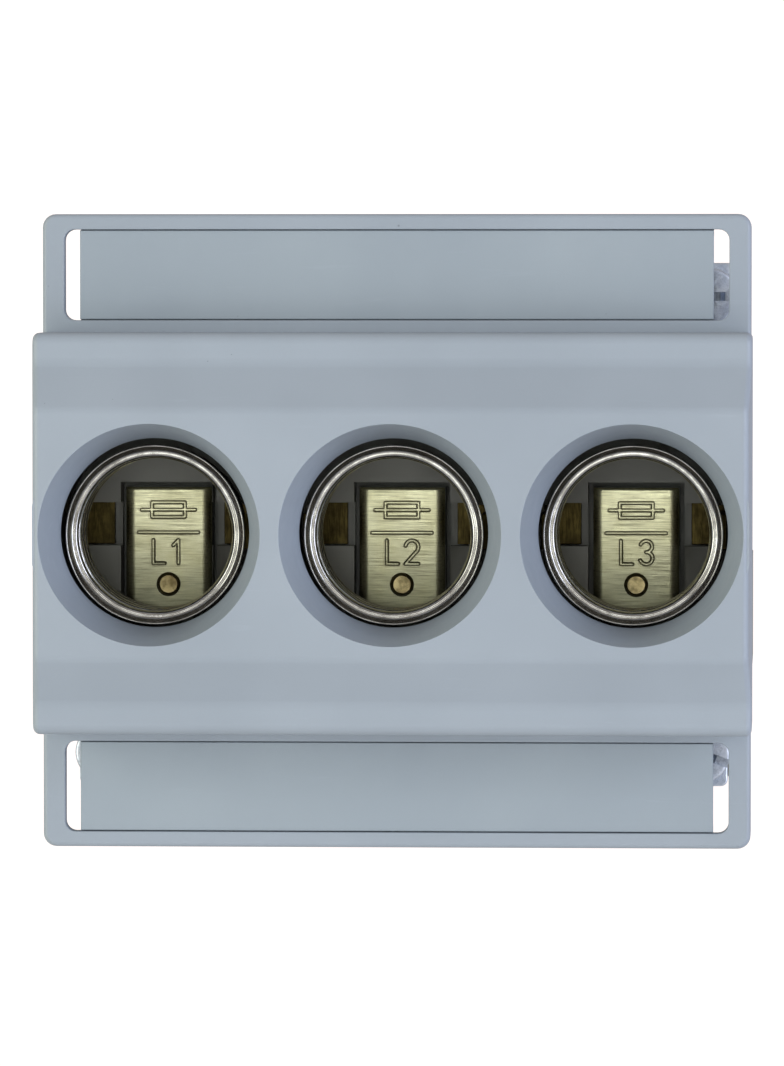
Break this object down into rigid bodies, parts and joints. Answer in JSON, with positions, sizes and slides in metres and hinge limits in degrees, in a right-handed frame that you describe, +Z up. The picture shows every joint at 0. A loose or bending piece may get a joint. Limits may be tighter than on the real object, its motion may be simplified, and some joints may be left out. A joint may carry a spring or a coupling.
{
  "type": "cartridge fuse holder",
  "caption": "Rail-mounted screw-in fuse base with bevelled clip-on cover, tapered socket openings, threaded shells, centre contacts and saddle-clamp terminals.",
  "frame": {"origin": "centre of the rail seat, on the front plane of the mounting rail and level with the rail's centre line", "axes": "+X across the poles from pole 1 to pole 3, +Z up, and -Y out of the front face"},
  "size_m": [0.0808, 0.0616, 0.072],
  "materials": {
    "cover_plastic": "light grey moulded plastic, fine satin texture",
    "base_plastic": "grey moulded thermoset",
    "latch_plastic": "dark grey glass-filled plastic",
    "nickel_shell": "nickel-plated rolled brass",
    "nickel_contact": "brushed nickel plating",
    "raw_brass": "raw brass strip",
    "zinc_steel": "blue-white zinc plating",
    "spring_steel": "drawn spring wire"
  },
  "bodies": {
    "base": {"well_block_1": "base_plastic", "well_block_2": "base_plastic", "well_block_3": "base_plastic", "base_core": "base_plastic", "base_plate": "base_plastic", "side_ribs": "base_plastic", "terminal_partitions": "base_plastic", "rail_hooks": "base_plastic", "latch_guides": "base_plastic", "thread_shell_1": "nickel_shell", "thread_shell_2": "nickel_shell", "thread_shell_3": "nickel_shell", "shell_strap_1": "raw_brass", "shell_strap_2": "raw_brass", "shell_strap_3": "raw_brass", "bottom_contact_1": "nickel_contact", "bottom_contact_2": "nickel_contact", "bottom_contact_3": "nickel_contact", "contact_screws": "raw_brass", "terminal_nuts": "zinc_steel"},
    "cover": {"cover_front": "cover_plastic", "socket_collars": "cover_plastic", "cover_shoulders": "cover_plastic", "cover_sides": "cover_plastic", "cover_frames": "cover_plastic"},
    "upper_strip": {"upper_marking_strip": "cover_plastic"},
    "lower_strip": {"lower_marking_strip": "cover_plastic"},
    "latch_left": {"rail_latch_left": "latch_plastic", "latch_spring_left": "spring_steel"},
    "latch_right": {"rail_latch_right": "latch_plastic", "latch_spring_right": "spring_steel"},
    "upper_clamp_1": {"upper_clamp_1": "zinc_steel"},
    "upper_screw_1a": {"upper_screw_1a": "zinc_steel"},
    "upper_screw_1b": {"upper_screw_1b": "zinc_steel"},
    "upper_clamp_2": {"upper_clamp_2": "zinc_steel"},
    "upper_screw_2a": {"upper_screw_2a": "zinc_steel"},
    "upper_screw_2b": {"upper_screw_2b": "zinc_steel"},
    "upper_clamp_3": {"upper_clamp_3": "zinc_steel"},
    "upper_screw_3a": {"upper_screw_3a": "zinc_steel"},
    "upper_screw_3b": {"upper_screw_3b": "zinc_steel"},
    "lower_clamp_1": {"lower_clamp_1": "zinc_steel"},
    "lower_screw_1a": {"lower_screw_1a": "zinc_steel"},
    "lower_screw_1b": {"lower_screw_1b": "zinc_steel"},
    "lower_clamp_2": {"lower_clamp_2": "zinc_steel"},
    "lower_screw_2a": {"lower_screw_2a": "zinc_steel"},
    "lower_screw_2b": {"lower_screw_2b": "zinc_steel"},
    "lower_clamp_3": {"lower_clamp_3": "zinc_steel"},
    "lower_screw_3a": {"lower_screw_3a": "zinc_steel"},
    "lower_screw_3b": {"lower_screw_3b": "zinc_steel"}
  },
  "joints": [
    {"name": "cover_pull_off", "type": "slide", "parent": "base", "child": "cover", "axis": [0, -1, 0], "range_m": [0, 0.045]},
    {"name": "upper_strip_pull_out", "type": "slide", "parent": "cover", "child": "upper_strip", "axis": [0, -1, 0], "range_m": [0, 0.012]},
    {"name": "lower_strip_pull_out", "type": "slide", "parent": "cover", "child": "lower_strip", "axis": [0, -1, 0], "range_m": [0, 0.012]},
    {"name": "rail_latch_left_slide", "type": "slide", "parent": "base", "child": "latch_left", "axis": [0, 0, -1], "range_m": [0, 0.003], "stiffness_N_per_m": 500, "springref_m": -0.002, "deforming": ["latch_spring_left"]},
    {"name": "rail_latch_right_slide", "type": "slide", "parent": "base", "child": "latch_right", "axis": [0, 0, -1], "range_m": [0, 0.003], "stiffness_N_per_m": 500, "springref_m": -0.002, "deforming": ["latch_spring_right"]},
    {"name": "upper_clamp_1_slide", "type": "slide", "parent": "base", "child": "upper_clamp_1", "axis": [0, 1, 0], "range_m": [-0.0012, 0.0068]},
    {"name": "upper_screw_1a_turn", "type": "hinge", "parent": "upper_clamp_1", "child": "upper_screw_1a", "pos_m": [-0.0345, -0.0186, 0.0266], "axis": [0, 1, 0], "range_deg": [-545, 3065]},
    {"name": "upper_screw_1b_turn", "type": "hinge", "parent": "upper_clamp_1", "child": "upper_screw_1b", "pos_m": [-0.0187, -0.0186, 0.0266], "axis": [0, 1, 0], "range_deg": [-545, 3065]},
    {"name": "upper_clamp_2_slide", "type": "slide", "parent": "base", "child": "upper_clamp_2", "axis": [0, 1, 0], "range_m": [-0.0012, 0.0068]},
    {"name": "upper_screw_2a_turn", "type": "hinge", "parent": "upper_clamp_2", "child": "upper_screw_2a", "pos_m": [-0.0075, -0.0186, 0.0266], "axis": [0, 1, 0], "range_deg": [-545, 3065]},
    {"name": "upper_screw_2b_turn", "type": "hinge", "parent": "upper_clamp_2", "child": "upper_screw_2b", "pos_m": [0.0083, -0.0186, 0.0266], "axis": [0, 1, 0], "range_deg": [-545, 3065]},
    {"name": "upper_clamp_3_slide", "type": "slide", "parent": "base", "child": "upper_clamp_3", "axis": [0, 1, 0], "range_m": [-0.0012, 0.0068]},
    {"name": "upper_screw_3a_turn", "type": "hinge", "parent": "upper_clamp_3", "child": "upper_screw_3a", "pos_m": [0.0195, -0.0186, 0.0266], "axis": [0, 1, 0], "range_deg": [-545, 3065]},
    {"name": "upper_screw_3b_turn", "type": "hinge", "parent": "upper_clamp_3", "child": "upper_screw_3b", "pos_m": [0.0353, -0.0186, 0.0266], "axis": [0, 1, 0], "range_deg": [-545, 3065]},
    {"name": "lower_clamp_1_slide", "type": "slide", "parent": "base", "child": "lower_clamp_1", "axis": [0, 1, 0], "range_m": [-0.0012, 0.0068]},
    {"name": "lower_screw_1a_turn", "type": "hinge", "parent": "lower_clamp_1", "child": "lower_screw_1a", "pos_m": [-0.0353, -0.0186, -0.0266], "axis": [0, 1, 0], "range_deg": [-545, 3065]},
    {"name": "lower_screw_1b_turn", "type": "hinge", "parent": "lower_clamp_1", "child": "lower_screw_1b", "pos_m": [-0.0195, -0.0186, -0.0266], "axis": [0, 1, 0], "range_deg": [-545, 3065]},
    {"name": "lower_clamp_2_slide", "type": "slide", "parent": "base", "child": "lower_clamp_2", "axis": [0, 1, 0], "range_m": [-0.0012, 0.0068]},
    {"name": "lower_screw_2a_turn", "type": "hinge", "parent": "lower_clamp_2", "child": "lower_screw_2a", "pos_m": [-0.0083, -0.0186, -0.0266], "axis": [0, 1, 0], "range_deg": [-545, 3065]},
    {"name": "lower_screw_2b_turn", "type": "hinge", "parent": "lower_clamp_2", "child": "lower_screw_2b", "pos_m": [0.0075, -0.0186, -0.0266], "axis": [0, 1, 0], "range_deg": [-545, 3065]},
    {"name": "lower_clamp_3_slide", "type": "slide", "parent": "base", "child": "lower_clamp_3", "axis": [0, 1, 0], "range_m": [-0.0012, 0.0068]},
    {"name": "lower_screw_3a_turn", "type": "hinge", "parent": "lower_clamp_3", "child": "lower_screw_3a", "pos_m": [0.0187, -0.0186, -0.0266], "axis": [0, 1, 0], "range_deg": [-545, 3065]},
    {"name": "lower_screw_3b_turn", "type": "hinge", "parent": "lower_clamp_3", "child": "lower_screw_3b", "pos_m": [0.0345, -0.0186, -0.0266], "axis": [0, 1, 0], "range_deg": [-545, 3065]}
  ],
  "couplings": [
    {"joint": "upper_screw_1a_turn", "follows": "upper_clamp_1_slide", "rad_per_m": 7854},
    {"joint": "upper_screw_1b_turn", "follows": "upper_clamp_1_slide", "rad_per_m": 7854},
    {"joint": "upper_screw_2a_turn", "follows": "upper_clamp_2_slide", "rad_per_m": 7854},
    {"joint": "upper_screw_2b_turn", "follows": "upper_clamp_2_slide", "rad_per_m": 7854},
    {"joint": "upper_screw_3a_turn", "follows": "upper_clamp_3_slide", "rad_per_m": 7854},
    {"joint": "upper_screw_3b_turn", "follows": "upper_clamp_3_slide", "rad_per_m": 7854},
    {"joint": "lower_screw_1a_turn", "follows": "lower_clamp_1_slide", "rad_per_m": 7854},
    {"joint": "lower_screw_1b_turn", "follows": "lower_clamp_1_slide", "rad_per_m": 7854},
    {"joint": "lower_screw_2a_turn", "follows": "lower_clamp_2_slide", "rad_per_m": 7854},
    {"joint": "lower_screw_2b_turn", "follows": "lower_clamp_2_slide", "rad_per_m": 7854},
    {"joint": "lower_screw_3a_turn", "follows": "lower_clamp_3_slide", "rad_per_m": 7854},
    {"joint": "lower_screw_3b_turn", "follows": "lower_clamp_3_slide", "rad_per_m": 7854}
  ]
}
